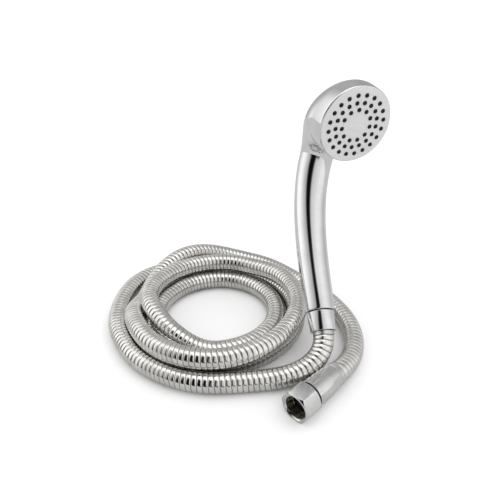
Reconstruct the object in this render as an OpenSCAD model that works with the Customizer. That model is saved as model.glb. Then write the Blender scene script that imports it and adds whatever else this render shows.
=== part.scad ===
// Handheld shower head on its coiled metal hose.
// Lengths are in millimetres and angles in degrees. +Z is up.
// The origin is the start of the thread in the hose's free nut, on the nut's axis.

/* [Handset place] */
// centre of the spray face, to the right of the free nut
face_x = 52.9; // [20:0.1:90]
// centre of the spray face, behind the free nut
face_y = 134.6; // [90:0.1:180]
// centre of the spray face, above the free nut's axis
face_z = 176.7; // [140:0.1:220]
// how far the face looks down
face_dip = 9; // [0:0.5:20]
// how far the handset leans to the side
face_lean = 17; // [0:0.5:30]
// how far the handset is turned about the upright
face_turn = 22; // [0:0.5:45]

/* [Head] */
// diameter over the chromed lip of the head
head_d = 65; // [50:0.5:80]
// width of the chromed lip around the face plate
lip_w = 1.1; // [0.8:0.1:3]
// depth of the head where it starts to round off
head_side = 14.5; // [12:0.5:18]
// wall of the chromed shell
shell_wall = 2.2; // [1.6:0.1:3]

/* [Spray face] */
// how far the grey face plate stands out of the lip
face_proud = 0.8; // [0.4:0.1:1.2]
// thickness of the face plate, all told
face_t = 2.2; // [1.8:0.1:3]
// radius of each ring of nozzles
ring_r = [13, 18.8, 24.9];
// nozzles in each ring
ring_n = [11, 17, 20];
// angle of the first nozzle in each ring
ring_start = [24.3, 11, 11.7];
// diameter of one rubber nozzle
nozzle_d = 3.4; // [2:0.1:4.2]
// how far a nozzle stands out of the face plate
nozzle_out = 0.7; // [0.3:0.1:1.5]
// thickness of the rubber nozzle mat
mat_t = 1.8; // [1.2:0.1:2.5]
// thickness of the clamping plate behind the mat
clamp_t = 2.2; // [1.5:0.1:3]
// depth of the water chamber
chamber_h = 7; // [6:0.5:8]
// wall of the water chamber
chamber_wall = 1.8; // [1.2:0.1:2.4]
// distance of the plate screws from the middle
screw_r = 7; // [5:0.5:8]
// diameter of a plate screw's shank
screw_d = 2.6; // [2:0.1:3]

/* [Handle] */
// diameter where the handle leaves the head
handle_top_d = 30.6; // [26:0.2:34]
// diameter at the lower end of the handle
handle_end_d = 25.4; // [24:0.2:28]
// how far the lower end stands in front of the face
handle_reach = 64.9; // [50:0.1:80]
// how far the lower end lies below the middle of the face
handle_drop = 144.6; // [125:0.1:165]
// slope of the handle's axis at its lower end, from the upright
inlet_slope = 56.6; // [45:0.1:65]
// bore of the water tube in the handle
tube_bore = 9.2; // [7:0.2:10]
// wall of the water tube
tube_wall = 1.7; // [1.2:0.1:2]

/* [Hose ends] */
// outside diameter of the G 1/2 thread
thread_d = 20.96; // [16:0.01:27]
// length of the handset's male thread
thread_len = 10.2; // [8:0.1:12]
// length of the inlet spigot inside the handle
spigot_in = 22; // [20:0.5:30]
// water bore through the spigot
spigot_bore = 12; // [9:0.5:13]
// radial clearance between threads and between the swivels
swivel_gap = 0.05; // [0.02:0.01:0.1]
// diameter of the handset nut next to the handle
nut_top_d = 23.6; // [23:0.1:26]
// diameter of the handset nut next to the hose
nut_low_d = 21.6; // [19:0.1:24]
// width across the flats of the free nut
hex_af = 24; // [23.5:0.1:30]
// chamfer at the mouth of the free nut
mouth_chamfer = 0.8; // [0.4:0.1:1.2]
// thickness of a rubber hose washer
washer_t = 1.8; // [1.2:0.1:2.4]
// thickness of the flange on a hose insert
flange_t = 1.8; // [1.5:0.1:2.5]
// gap all round between the flange on a hose insert and the thread
flange_gap = 0.68; // [0.4:0.01:1]
// diameter of an insert's stem, which the nut turns on
stem_d = 14.4; // [12:0.1:16]
// thickness of a nut's floor
nut_floor = 3.6; // [2.5:0.1:5]
// length of the tapered sleeve behind the free nut
cone_len = 29.4; // [24:0.1:36]
// length of the ringed collar at the free end
collar_len = 6; // [4:0.5:8]

/* [Hose] */
// outside diameter of the metal hose
hose_d = 17.5; // [14:0.5:19]
// water bore of the hose inserts
insert_bore = 9.2; // [7:0.2:10]
// sides of the hose's section
hose_sides = 12; // [8:1:12]
// direction of the free end on the floor
free_dir = 45; // [30:1:60]

/* [Hidden] */
seg = 48;
far_seg = 64;

// what the head is made of, from the lip back
head_r = head_d / 2;
recess_r = head_r - lip_w;
plate_r = recess_r - 0.1;
inner_r = recess_r - 0.7;
mat_y = face_t - face_proud;
clamp_y = mat_y + mat_t;
chamber_y = clamp_y + clamp_t;
chamber_end = chamber_y + chamber_h;
tube_r = tube_bore / 2 + tube_wall;

// y, z, tilt, half width and half depth of each slice, tilt being that of the slice's axis
head_slices = [
    [0, 0, -90, head_r - 0.5, head_r - 0.5],
    [0.8, 0, -90, head_r - 0.1, head_r - 0.1],
    [2.6, 0, -90, head_r, head_r],
    [9.5, 0, -90, head_r + 0.3, head_r + 0.3],
    [head_side, 0, -90, head_r - 0.1, head_r - 0.1],
    [head_side + 4.5, -0.5, -90, head_r - 1.5, head_r - 1.5],
    [head_side + 8.5, -1.5, -90, head_r - 4.5, head_r - 4.5],
    [head_side + 12.5, -4, -90, head_r - 10.2, head_r - 10.2],
    [head_side + 15.5, -7, -90, head_r - 18, head_r - 18]
];
neck_top = [head_side + 8.4, -6.2, -60, head_r - 0.9, head_r - 7.5];
handle_r = handle_top_d / 2;
end_r = handle_end_d / 2;
neck_slices = [
    neck_top,
    [29.1, -14.6, -38, head_r - 4.5, handle_r + 4.5],
    [33.8, -25, -18, handle_r + 7.1, handle_r + 1.9],
    [35.4, -34.3, -4, handle_r + 2.9, handle_r + 0.5]
];

// the handle's axis is one smooth curve in the handset's middle plane, as y and z
slope_top = 14.9;
curve = [
    [34.3, -43.7],
    [34.3 - 46.8 * sin(slope_top), -43.7 - 46.8 * cos(slope_top)],
    [-handle_reach + 41.6 * sin(inlet_slope), -handle_drop + 41.6 * cos(inlet_slope)],
    [-handle_reach, -handle_drop]
];
function on_curve(t) =
    pow(1 - t, 3) * curve[0]
    + 3 * pow(1 - t, 2) * t * curve[1]
    + 3 * (1 - t) * t * t * curve[2]
    + pow(t, 3) * curve[3];
function along(t) =
    pow(1 - t, 2) * (curve[1] - curve[0])
    + 2 * (1 - t) * t * (curve[2] - curve[1])
    + t * t * (curve[3] - curve[2]);
function tilt_at(t) = atan2(-along(t)[0], -along(t)[1]);
function handle_slice(t, r) = [on_curve(t)[0], on_curve(t)[1], tilt_at(t), r, r];
function handle_run(last, r0, r1) = [
    for (i = [0:10]) handle_slice(i / 10 * last, r0 + (r1 - r0) * i / 10 * last)
];

// the free nut's thread stops short of the washer, in a shallow relief
wall_len = thread_len - 0.3;
thread_relief = 0.25;

// distances along the inlet axis and along the free end's axis, out of the handle and out of the nut
flange_r = thread_d / 2 - flange_gap;
washer_s = thread_len;
flange_s = washer_s + washer_t;
floor_s = flange_s + flange_t + 0.1;
nut_end = floor_s + nut_floor;
hose_s = nut_end + 0.7;
cone_s = nut_end + 0.6;
cone_end = cone_s + cone_len;

// where the inlet axis is in space
free_axis = [cos(free_dir), sin(free_dir), 0];
rest_z = hose_d / 2 - hex_af / 2;
function turned(p) = let (
    a = [p[0], p[1] * cos(face_dip) - p[2] * sin(face_dip), p[1] * sin(face_dip) + p[2] * cos(face_dip)],
    b = [a[0] * cos(face_lean) + a[2] * sin(face_lean), a[1], a[2] * cos(face_lean) - a[0] * sin(face_lean)]
) [b[0] * cos(face_turn) - b[1] * sin(face_turn), b[0] * sin(face_turn) + b[1] * cos(face_turn), b[2]];
inlet_axis = turned([0, -sin(inlet_slope), -cos(inlet_slope)]);
inlet_at = [face_x, face_y, face_z] + turned([0, -handle_reach, -handle_drop]);

// the hose: out of the handset nut and down, round four loose turns, and forward to the free end
coil_x = -65.5;
coil_y = 128;
coil_from = 90;
coil_to = 1380;
coil_step = 15;
// angle turned, clockwise from the right, and the turn's radius there
coil_radius = [
    [90, 99], [120, 95.5], [150, 93.5], [180, 96.3], [210, 102.5], [225, 100], [240, 91.5], [255, 83.5],
    [270, 79], [300, 77], [360, 76.8], [420, 78], [465, 78.4], [480, 77], [495, 73], [510, 67], [525, 61.5],
    [540, 58.5], [570, 57], [720, 57], [780, 58.7], [810, 60], [870, 60.6], [885, 62.4], [900, 64.8],
    [915, 66], [930, 66.4], [1020, 67.5], [1035, 69.5], [1050, 72.5], [1080, 77], [1110, 81], [1140, 86],
    [1155, 88], [1170, 88.8], [1185, 88.2], [1200, 86.2], [1215, 83.2], [1230, 80.4], [1245, 79.5],
    [1260, 78], [1275, 77.2], [1290, 81], [1305, 84.7], [1320, 87.3], [1335, 90.3], [1350, 94],
    [1365, 97.5], [1380, 100.3]
];
// angle turned, and how high the turn lies above its place on the floor
coil_lift = [
    [90, 0], [810, 0], [825, 3], [840, 9], [855, 14], [870, 17.6], [885, 18.8], [900, 17.8], [930, 16.8],
    [960, 16.2], [1020, 16], [1050, 18], [1080, 18.7], [1110, 18.2], [1140, 16.8], [1170, 15.8], [1200, 16],
    [1215, 15.5], [1230, 13.7], [1245, 10], [1260, 4.4], [1275, 1.2], [1290, 5], [1305, 12.4], [1320, 18.2],
    [1335, 17.8], [1350, 11.6], [1365, 5], [1380, 1.5]
];
lead_in = [
    [27.8, 57.7, 12.4], [23.4, 50.1, 6.9], [15.5, 43.3, 2.6], [4.1, 37.8, -0.6],
    [-10.8, 33.9, -2.5], [-28.9, 31.4, -3.2], [-46, 29.8, -3.25]
];
lead_out = [
    [10.5, 192, -3.25], [33.5, 165, -3.25], [50.5, 136, -3.25], [59.5, 108, -3.25],
    [60, 83, -3.25], [54, 61.5, -3], [44.5, 45.5, -1.2]
];
coil = [
    for (a = [coil_from:coil_step:coil_to]) [
        coil_x + lookup(a, coil_radius) * cos(-a),
        coil_y + lookup(a, coil_radius) * sin(-a),
        rest_z + lookup(a, coil_lift)
    ]
];
route = concat([inlet_at + inlet_axis * hose_s], lead_in, coil, lead_out, [free_axis * cone_end]);

// the water tube's own route inside the handset
tube_path = concat(
    [
        [0, chamber_end, -14],
        [0, chamber_end + 5, -14.8],
        [0, 24.2, -18.6],
        [0, 29.6, -25.4],
        [0, 33, -34]
    ],
    [for (i = [0:9]) [0, on_curve(i / 10)[0], on_curve(i / 10)[1]]]
);

// a tube swept along points; its first and last sections are square to the end headings given
function unit(v) = v / norm(v);
function heading(p, i, first, last) =
    i == 0 ? first
    : i == len(p) - 1 ? last
    : unit(unit(p[i + 1] - p[i]) + unit(p[i] - p[i - 1]));
function section(c, t, r, sides) = let (s = unit(cross(t, [0, 0, 1])), u = cross(s, t)) [
    for (k = [0:sides - 1]) let (a = 360 * k / sides) c + r * (cos(a) * s + sin(a) * u)
];

// ---- places ----

module on_handset() {
    translate([face_x, face_y, face_z])
        rotate([face_dip, face_lean, face_turn])
            children();
}

// +Z runs back into the head, from the lip's plane
module on_face() {
    on_handset()
        rotate([-90, 0, 0])
            children();
}

// +Z runs out of the handle's lower end
module on_inlet() {
    on_handset()
        translate([0, -handle_reach, -handle_drop])
            rotate([180 - inlet_slope, 0, 0])
                children();
}

// +Z runs from the free nut's mouth towards the hose
module on_free_end() {
    rotate([0, 90, free_dir])
        children();
}

// ---- shapes that repeat ----

module slice(s, less = 0) {
    translate([0, s[0], s[1]])
        rotate([180 - s[2], 0, 0])
            linear_extrude(height = 0.02)
                polygon([for (k = [0:seg - 1]) [
                    (s[3] - less) * cos(360 * k / seg),
                    (s[4] - less) * sin(360 * k / seg)
                ]]);
}

module skin(slices, less = 0) {
    for (i = [0:len(slices) - 2]) hull() {
        slice(slices[i], less);
        slice(slices[i + 1], less);
    }
}

module swept_tube(p, r_out, r_in, sides, first = [0, 1, 0], last = [0, -sin(inlet_slope), -cos(inlet_slope)]) {
    n = len(p);
    m = sides;
    points = [
        for (r = [r_out, r_in])
            for (i = [0:n - 1])
                each section(p[i], heading(p, i, first, last), r, m)
    ];
    walls = [
        for (w = [0, 1]) for (i = [0:n - 2]) for (k = [0:m - 1]) let (
            a = w * n * m + i * m + k,
            b = w * n * m + i * m + (k + 1) % m
        ) each w == 0 ? [[a, a + m, b], [b, a + m, b + m]] : [[a, b, a + m], [b, b + m, a + m]]
    ];
    ends = [
        for (e = [0, 1]) for (k = [0:m - 1]) let (
            a = e * (n - 1) * m + k,
            b = e * (n - 1) * m + (k + 1) % m,
            c = n * m
        ) each e == 0 ? [[a, b, b + c], [a, b + c, a + c]] : [[a, b + c, b], [a, a + c, b + c]]
    ];
    polyhedron(points = points, faces = concat(walls, ends));
}

module ring(r_out, r_in, z0, z1, fn = far_seg) {
    difference() {
        translate([0, 0, z0])
            cylinder(h = z1 - z0, r = r_out, $fn = fn);
        translate([0, 0, z0 - 1])
            cylinder(h = z1 - z0 + 2, r = r_in, $fn = fn);
    }
}

module o_ring(r_mid, section_r, z) {
    translate([0, 0, z])
        rotate_extrude($fn = 48)
            translate([r_mid, 0])
                circle(r = section_r, $fn = 16);
}

module at_nozzles() {
    for (j = [0:len(ring_n) - 1])
        for (k = [0:ring_n[j] - 1])
            rotate([0, 0, ring_start[j] + 360 * k / ring_n[j]])
                translate([ring_r[j], 0, 0])
                    children();
}

module at_screws() {
    for (k = [0:2])
        rotate([0, 0, 30 + 120 * k])
            translate([screw_r, 0, 0])
                children();
}

module insert(barb_from, barb_to) {
    difference() {
        union() {
            translate([0, 0, flange_s])
                cylinder(h = flange_t, r = flange_r, $fn = far_seg);
            translate([0, 0, flange_s])
                cylinder(h = barb_from - flange_s, r = stem_d / 2, $fn = far_seg);
            translate([0, 0, barb_from])
                cylinder(h = barb_to - barb_from, r = insert_bore / 2 + 1, $fn = far_seg);
        }
        translate([0, 0, flange_s - 1])
            cylinder(h = barb_to - flange_s + 2, r = insert_bore / 2, $fn = far_seg);
    }
}

module hose_washer() {
    ring(flange_r - 0.2, spigot_bore / 2 - 0.4, washer_s, flange_s);
}

// ---- handset ----

module handset_shell() {
    color([0.8, 0.81, 0.83])
        on_handset()
            difference() {
                union() {
                    skin(head_slices);
                    hull() {
                        slice(neck_top);
                        slice(head_slices[4]);
                    }
                    skin(concat(neck_slices, handle_run(1, handle_r, end_r)));
                }
                rotate([-90, 0, 0])
                    translate([0, 0, -1])
                        cylinder(h = chamber_end + 1, r = recess_r, $fn = far_seg);
                rotate([-90, 0, 0])
                    cylinder(h = head_side + 1, r = recess_r - 4, $fn = far_seg);
                skin([for (i = [4:8]) head_slices[i]], shell_wall);
                hull() {
                    slice(neck_top, shell_wall);
                    slice(head_slices[4], shell_wall);
                }
                skin(concat(neck_slices, handle_run(0.78, handle_r, end_r)), shell_wall);
                translate([0, -handle_reach, -handle_drop])
                    rotate([180 - inlet_slope, 0, 0])
                        translate([0, 0, -spigot_in - 8])
                            cylinder(h = spigot_in + 9, r = thread_d / 2 - 0.48, $fn = far_seg);
            }
}

module face_plate() {
    color([0.8, 0.8, 0.81])
        on_face()
            difference() {
                translate([0, 0, -face_proud])
                    cylinder(h = face_t, r = plate_r, $fn = far_seg);
                at_nozzles()
                    translate([0, 0, -face_proud - 1])
                        cylinder(h = face_t + 2, r = nozzle_d / 2 + 0.1, $fn = 16);
            }
}

module nozzle_mat() {
    color([0.05, 0.05, 0.05])
        on_face() {
            ring(inner_r, screw_r + 3.4, mat_y, clamp_y);
            at_nozzles()
                translate([0, 0, -face_proud - nozzle_out])
                    cylinder(h = face_t + nozzle_out + mat_t / 2, r = nozzle_d / 2, $fn = 16);
        }
}

module clamp_plate() {
    color([0.62, 0.63, 0.65])
        on_face()
            difference() {
                translate([0, 0, clamp_y])
                    cylinder(h = clamp_t, r = inner_r, $fn = far_seg);
                at_nozzles()
                    translate([0, 0, clamp_y - 1])
                        cylinder(h = clamp_t + 2, r = 0.7, $fn = 8);
                at_screws()
                    translate([0, 0, clamp_y - 1])
                        cylinder(h = clamp_t + 2, r = screw_d / 2 + 0.1, $fn = 16);
            }
}

module chamber_seal() {
    color([0.1, 0.1, 0.1])
        on_face()
            o_ring(inner_r - chamber_wall - 0.75, 0.7, chamber_y + 0.7);
}

module water_chamber() {
    color([0.55, 0.56, 0.58])
        on_face()
            difference() {
                translate([0, 0, chamber_y])
                    cylinder(h = chamber_h, r = inner_r, $fn = far_seg);
                difference() {
                    translate([0, 0, chamber_y - 1])
                        cylinder(h = chamber_h + 1 - chamber_wall, r = inner_r - chamber_wall, $fn = far_seg);
                    at_screws()
                        translate([0, 0, chamber_y])
                            cylinder(h = chamber_h, r = screw_d / 2 + 1.8, $fn = 24);
                }
                at_screws()
                    translate([0, 0, chamber_y - 1])
                        cylinder(h = chamber_h - 0.5, r = screw_d / 2, $fn = 16);
                translate([0, 14, chamber_end - chamber_wall - 1])
                    cylinder(h = chamber_wall + 2, r = tube_bore / 2, $fn = 32);
            }
}

module plate_screws() {
    color([0.7, 0.7, 0.72])
        on_face()
            at_screws() {
                translate([0, 0, clamp_y - 1.5])
                    cylinder(h = 1.5, r = screw_d, $fn = 24);
                translate([0, 0, clamp_y])
                    cylinder(h = clamp_t + chamber_h - chamber_wall, r = screw_d / 2 - 0.02, $fn = 16);
            }
}

module water_tube() {
    color([0.85, 0.86, 0.88])
        on_handset()
            swept_tube(tube_path, tube_r, tube_bore / 2, 24);
}

module tube_seal() {
    color([0.1, 0.1, 0.1])
        on_inlet()
            o_ring(tube_r + 0.95, 0.93, -15);
}

module inlet_spigot() {
    color([0.78, 0.63, 0.35])
        on_inlet()
            difference() {
                union() {
                    translate([0, 0, -spigot_in])
                        cylinder(h = spigot_in, r = thread_d / 2 - 0.5, $fn = far_seg);
                    cylinder(h = 1.2, r = thread_d / 2 - 1.2, $fn = far_seg);
                    translate([0, 0, 1.2])
                        cylinder(h = thread_len - 1.2, r = thread_d / 2, $fn = far_seg);
                }
                translate([0, 0, -spigot_in - 1])
                    cylinder(h = spigot_in + thread_len + 2, r = spigot_bore / 2, $fn = far_seg);
                translate([0, 0, -spigot_in - 1])
                    cylinder(h = spigot_in - 8, r = tube_r + 1.9, $fn = far_seg);
            }
}

module flow_limiter() {
    color([0.2, 0.45, 0.3])
        on_inlet()
            ring(spigot_bore / 2 - 0.03, 2.2, 2, 8, 32);
}

module inlet_washer() {
    color([0.1, 0.1, 0.1])
        on_inlet()
            hose_washer();
}

module handset_nut() {
    color([0.8, 0.81, 0.83])
        on_inlet()
            difference() {
                translate([0, 0, 0.9])
                    cylinder(h = nut_end - 0.9, r1 = nut_top_d / 2, r2 = nut_low_d / 2, $fn = far_seg);
                cylinder(h = floor_s, r = thread_d / 2 + swivel_gap, $fn = far_seg);
                cylinder(h = nut_end + 1, r = stem_d / 2 + swivel_gap, $fn = far_seg);
            }
}

// ---- hose ----

module handset_insert() {
    color([0.78, 0.63, 0.35])
        on_inlet()
            insert(hose_s, hose_s + 6);
}

module handset_collar() {
    color([0.75, 0.76, 0.78])
        on_inlet()
            difference() {
                translate([0, 0, nut_end + 0.2])
                    cylinder(h = 3.3, r = hose_d / 2 + 0.45, $fn = far_seg);
                cylinder(h = hose_s + 4, r = stem_d / 2 + 0.02, $fn = far_seg);
                translate([0, 0, hose_s])
                    cylinder(h = 4, r = hose_d / 2 + 0.05, $fn = far_seg);
            }
}

module hose_cover() {
    color([0.75, 0.75, 0.74])
        swept_tube(route, hose_d / 2, insert_bore / 2 + 1.02, hose_sides, inlet_axis, -free_axis);
}

module supply_collar() {
    color([0.75, 0.76, 0.78])
        on_free_end() {
            ring(hose_d / 2 + 1.2, hose_d / 2 + 0.05, cone_end, cone_end + collar_len / 3 - 0.3);
            ring(hose_d / 2 + 0.5, hose_d / 2 + 0.05, cone_end, cone_end + collar_len);
            ring(hose_d / 2 + 0.9, hose_d / 2 + 0.05,
                cone_end + collar_len / 2, cone_end + collar_len / 2 + collar_len / 4);
        }
}

module supply_sleeve() {
    color([0.78, 0.78, 0.77])
        on_free_end()
            difference() {
                intersection() {
                    translate([0, 0, cone_s])
                        cylinder(h = cone_len, r1 = hex_af / 2 + 0.6, r2 = hose_d / 2 + 1.5, $fn = far_seg);
                    translate([0, 0, cone_s])
                        rotate([0, 0, 30])
                            cylinder(h = cone_len, r1 = hex_af / 2 / cos(30), r2 = hose_d / 2 / cos(30) + 1,
                                $fn = 6);
                }
                cylinder(h = cone_end + 1, r = stem_d / 2 + 0.02, $fn = far_seg);
            }
}

module supply_insert() {
    color([0.78, 0.63, 0.35])
        on_free_end()
            insert(cone_end, cone_end + 6);
}

module supply_washer() {
    color([0.1, 0.1, 0.1])
        on_free_end()
            hose_washer();
}

module supply_nut() {
    color([0.78, 0.78, 0.77])
        on_free_end()
            difference() {
                intersection() {
                    translate([0, 0, -mouth_chamfer])
                        rotate([0, 0, 30])
                            cylinder(h = nut_end + mouth_chamfer, r = hex_af / 2 / cos(30), $fn = 6);
                    translate([0, 0, -mouth_chamfer])
                        cylinder(h = nut_end + mouth_chamfer, r1 = hex_af / 2 + 0.1, r2 = hex_af / 2 + 6,
                            $fn = far_seg);
                }
                translate([0, 0, -1])
                    cylinder(h = wall_len + 1, r = thread_d / 2, $fn = far_seg);
                translate([0, 0, wall_len])
                    cylinder(h = floor_s - wall_len, r = thread_d / 2 + thread_relief, $fn = far_seg);
                translate([0, 0, -mouth_chamfer])
                    cylinder(h = mouth_chamfer, r1 = thread_d / 2 + mouth_chamfer / 2, r2 = thread_d / 2,
                        $fn = far_seg);
                cylinder(h = nut_end + 1, r = stem_d / 2 + swivel_gap, $fn = far_seg);
            }
}

handset_shell();
face_plate();
nozzle_mat();
clamp_plate();
chamber_seal();
water_chamber();
plate_screws();
water_tube();
tube_seal();
inlet_spigot();
flow_limiter();
inlet_washer();
handset_nut();
handset_insert();
handset_collar();
hose_cover();
supply_collar();
supply_sleeve();
supply_insert();
supply_washer();
supply_nut();
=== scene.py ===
import math

import bmesh
import bpy
import numpy as np
from mathutils import Euler, Matrix, Vector


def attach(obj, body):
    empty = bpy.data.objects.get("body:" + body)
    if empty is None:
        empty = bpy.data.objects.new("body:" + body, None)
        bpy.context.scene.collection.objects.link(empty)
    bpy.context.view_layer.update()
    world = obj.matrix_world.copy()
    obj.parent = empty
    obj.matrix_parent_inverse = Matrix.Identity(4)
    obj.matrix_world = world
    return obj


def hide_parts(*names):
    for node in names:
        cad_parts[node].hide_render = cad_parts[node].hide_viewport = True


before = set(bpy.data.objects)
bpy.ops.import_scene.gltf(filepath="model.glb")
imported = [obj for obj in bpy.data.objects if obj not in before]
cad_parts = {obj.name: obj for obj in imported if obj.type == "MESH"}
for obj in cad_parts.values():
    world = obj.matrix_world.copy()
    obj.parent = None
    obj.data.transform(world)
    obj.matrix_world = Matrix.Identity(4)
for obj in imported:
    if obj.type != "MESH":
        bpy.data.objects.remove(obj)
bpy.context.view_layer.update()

mm = 0.001


camera = {
    "place": (-0.0335, -0.256, 0.27375),
    "lookDown": 28.6,  # degrees below level
    "lens": 34.344,
    "sensor": 36.0,
}


def makeCamera():
    data = bpy.data.cameras.new("camera")
    data.lens = camera["lens"]
    data.sensor_width = camera["sensor"]
    data.clip_start = 0.01
    data.clip_end = 20.0
    eye = bpy.data.objects.new("camera", data)
    eye.location = camera["place"]
    eye.rotation_euler = (math.radians(90 - camera["lookDown"]), 0, 0)
    bpy.context.collection.objects.link(eye)
    bpy.context.scene.camera = eye


makeCamera()
print("camera placed")


handset = {
    "face": (52.9, 134.6, 176.7),  # centre of the lip's plane
    "turns": (9, 17, 22),
    "reach": 64.9,  # the handle's lower end, in front of the face
    "drop": 144.6,
    "inletSlope": 56.6,
}
freeAngle = 45.0  # direction of the free end on the floor


def turnX(angle):
    return Matrix.Rotation(math.radians(angle), 4, "X")


def turnY(angle):
    return Matrix.Rotation(math.radians(angle), 4, "Y")


def turnZ(angle):
    return Matrix.Rotation(math.radians(angle), 4, "Z")


def move(x, y, z):
    return Matrix.Translation((x, y, z))


# these work in millimetres; shrink() takes the result to metres
handsetTurn = Euler([math.radians(a) for a in handset["turns"]]).to_matrix().to_4x4()
onHandset = move(*handset["face"]) @ handsetTurn
onFace = onHandset @ turnX(-90)
handleTip = move(0, -handset["reach"], -handset["drop"])
onInlet = onHandset @ handleTip @ turnX(180 - handset["inletSlope"])
onFreeEnd = turnZ(freeAngle) @ turnY(90)

inletAxis = np.array((onInlet.to_3x3() @ Vector((0, 0, 1))))
inletPlace = np.array(onInlet.translation)
freeAxis = np.array((onFreeEnd.to_3x3() @ Vector((0, 0, 1))))


def shrink(points, place):
    p = np.asarray(points, float).reshape(-1, 3)
    m = np.array(place)
    return (p @ m[:3, :3].T + m[:3, 3]) * mm


def newPiece(name, points, faces, smooth=True, sharp=None):
    mesh = bpy.data.meshes.new(name)
    mesh.from_pydata([tuple(p) for p in points], [], [tuple(f) for f in faces])
    mesh.update()
    piece = bpy.data.objects.new(name, mesh)
    bpy.context.collection.objects.link(piece)
    if smooth:
        mesh.shade_smooth()
        if sharp:
            mesh.set_sharp_from_angle(angle=math.radians(sharp))
    return piece


def gridFaces(rows, sides, start=0, closedRows=False, flip=False):
    faces = []
    last = rows if closedRows else rows - 1
    for i in range(last):
        a = start + i * sides
        b = start + ((i + 1) % rows) * sides
        for k in range(sides):
            q = (a + k, a + (k + 1) % sides, b + (k + 1) % sides, b + k)
            faces.append(q[::-1] if flip else q)
    return faces


def filleted(corners, steps=4):
    # corners are (along, radius, fillet); a closed loop comes back with its corners rounded
    out = []
    n = len(corners)
    for i in range(n):
        s, r, fillet = corners[i]
        here = np.array((s, r), float)
        if not fillet:
            out.append(here)
            continue
        before = np.array(corners[i - 1][:2], float) - here
        after = np.array(corners[(i + 1) % n][:2], float) - here
        lb, la = np.linalg.norm(before), np.linalg.norm(after)
        before, after = before / lb, after / la
        reach = min(fillet, lb * 0.45, la * 0.45)
        a, b = here + before * reach, here + after * reach
        for j in range(steps + 1):
            t = j / steps
            out.append((1 - t) ** 2 * a + 2 * t * (1 - t) * here + t * t * b)
    return out


def lathe(name, loop, place, sides=96, shape=None, sharp=32):
    # loop runs along the outside first, then back through the bore
    # shape(angle, along, radius) bends it
    angles = np.arange(sides) * 2 * math.pi / sides
    points = []
    for s, r in loop:
        radii = np.full(sides, r) if shape is None else shape(angles, s, r)
        points.append(np.stack([radii * np.cos(angles), radii * np.sin(angles), np.full(sides, s)], 1))
    faces = gridFaces(len(loop), sides, closedRows=True)
    return newPiece(name, shrink(np.concatenate(points), place), faces, sharp=sharp)


def softMin(a, b, k):
    h = np.clip(0.5 + 0.5 * (b - a) / k, 0, 1)
    return b * (1 - h) + a * h - k * h * (1 - h)


def hexRadius(angles, halfFlats, corner=0.25):
    # a flat faces along angle zero
    local = np.mod(angles + math.pi / 6, math.pi / 3) - math.pi / 6
    edge = halfFlats / np.cos(local)
    return softMin(edge, np.full_like(edge, halfFlats / math.cos(math.pi / 6) - corner * 0.6), corner)


def naturalSpline(x, y, at):
    # a cubic with continuous curvature through every point
    x, y = np.asarray(x, float), np.asarray(y, float)
    n = len(x)
    h = np.diff(x)
    m = np.zeros((n, n))
    v = np.zeros((n,) + y.shape[1:])
    m[0, 0] = m[-1, -1] = 1
    for i in range(1, n - 1):
        m[i, i - 1], m[i, i], m[i, i + 1] = h[i - 1], 2 * (h[i - 1] + h[i]), h[i]
        v[i] = 6 * ((y[i + 1] - y[i]) / h[i] - (y[i] - y[i - 1]) / h[i - 1])
    c = np.linalg.solve(m, v)
    k = np.clip(np.searchsorted(x, at) - 1, 0, n - 2)
    hk = h[k][:, None]
    a = ((x[k + 1] - at)[:, None]) / hk
    b = ((at - x[k])[:, None]) / hk
    return a * y[k] + b * y[k + 1] + ((a ** 3 - a) * c[k] + (b ** 3 - b) * c[k + 1]) * hk ** 2 / 6


hose = {
    "width": 17.5,
    "ringPitch": 4.35,
    "grooveDepth": 0.85,
    "sides": 28,
    "startAt": 18.2,  # along the inlet axis
    "endAt": 47.5,  # along the free end's axis
    "restHeight": -3.25,
    "coilMiddle": (-65.5, 128.0),
}
coilRadius = [
    (90, 99), (120, 95.5), (150, 93.5), (180, 96.3), (210, 102.5), (225, 100), (240, 91.5), (255, 83.5),
    (270, 79), (300, 77), (360, 76.8), (420, 78), (465, 78.4), (480, 77), (495, 73), (510, 67), (525, 61.5),
    (540, 58.5), (570, 57), (720, 57), (780, 58.7), (810, 60), (870, 60.6), (885, 62.4), (900, 64.8),
    (915, 66), (930, 66.4), (1020, 67.5), (1035, 69.5), (1050, 72.5), (1080, 77), (1110, 81), (1140, 86),
    (1155, 88), (1170, 88.8), (1185, 88.2), (1200, 86.2), (1215, 83.2), (1230, 80.4), (1245, 79.5),
    (1260, 78), (1275, 77.2), (1290, 81), (1305, 84.7), (1320, 87.3), (1335, 90.3), (1350, 94),
    (1365, 97.5), (1380, 100.3),
]
coilLift = [
    (90, 0), (810, 0), (825, 3), (840, 9), (855, 14), (870, 17.6), (885, 18.8), (900, 17.8), (930, 16.8),
    (960, 16.2), (1020, 16), (1050, 18), (1080, 18.7), (1110, 18.2), (1140, 16.8), (1170, 15.8), (1200, 16),
    (1215, 15.5), (1230, 13.7), (1245, 10), (1260, 4.4), (1275, 1.2), (1290, 5), (1305, 12.4), (1320, 18.2),
    (1335, 17.8), (1350, 11.6), (1365, 5), (1380, 1.5),
]
leadIn = [
    (27.8, 57.7, 12.4), (23.4, 50.1, 6.9), (15.5, 43.3, 2.6), (4.1, 37.8, -0.6),
    (-10.8, 33.9, -2.5), (-28.9, 31.4, -3.2), (-46, 29.8, -3.25),
]
leadOut = [
    (10.5, 192, -3.25), (33.5, 165, -3.25), (50.5, 136, -3.25), (59.5, 108, -3.25),
    (60, 83, -3.25), (54, 61.5, -3), (44.5, 45.5, -1.2),
]


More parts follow.
